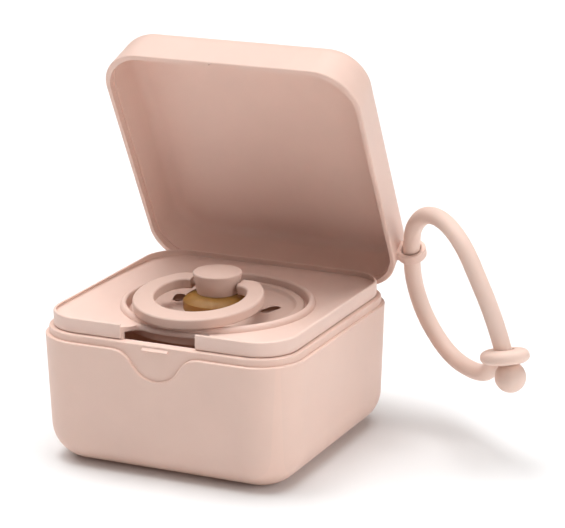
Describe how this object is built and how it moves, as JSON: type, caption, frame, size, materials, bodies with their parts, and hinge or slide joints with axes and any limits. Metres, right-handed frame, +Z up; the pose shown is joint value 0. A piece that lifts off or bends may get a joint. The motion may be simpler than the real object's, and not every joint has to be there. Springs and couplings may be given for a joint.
{
  "type": "pacifier sterilizer case",
  "caption": "Square hinged-lid case with a lift-out tray that seats a ring-handled pacifier for steaming, and a silicone loop strap on the lid.",
  "frame": {"origin": "centre of the flat face that the case rests on", "axes": "+Z up, -Y towards the front with the thumb recess, +Y towards the hinge, +X towards the side with the strap"},
  "size_m": [0.1145, 0.0806, 0.1004],
  "materials": {
    "case_plastic": "satin moulded, pale nude pink",
    "tray_plastic": "satin moulded, pale nude pink",
    "pacifier_plastic": "matte, slightly darker nude pink",
    "amber_latex": "translucent amber natural latex",
    "strap_silicone": "soft matte silicone",
    "pin_steel": "drawn wire"
  },
  "bodies": {
    "case": {"base_shell": "case_plastic", "hinge_pin": "pin_steel", "sterilizer_tray": "tray_plastic"},
    "lid": {"lid": "case_plastic", "strap_upper": "strap_silicone", "strap_lower": "strap_silicone", "strap_ring_end": "strap_silicone", "strap_ball_end": "strap_silicone"},
    "pacifier": {"pacifier_shield": "pacifier_plastic", "pacifier_nipple": "amber_latex", "pacifier_knob": "pacifier_plastic"},
    "ring_handle": {"pacifier_ring": "pacifier_plastic"}
  },
  "joints": [
    {"name": "lid_hinge", "type": "hinge", "parent": "case", "child": "lid", "pos_m": [0, 0.036, 0.0331], "axis": [-1, 0, 0], "range_deg": [-63.3, 36.7]},
    {"name": "pacifier_spin", "type": "hinge", "parent": "case", "child": "pacifier", "pos_m": [0, 0, 0.034], "axis": [0, 0, 1], "continuous": true},
    {"name": "ring_pivot", "type": "hinge", "parent": "pacifier", "child": "ring_handle", "pos_m": [0, 0, 0.041], "axis": [-1, 0, 0], "range_deg": [0, 191.4]}
  ]
}
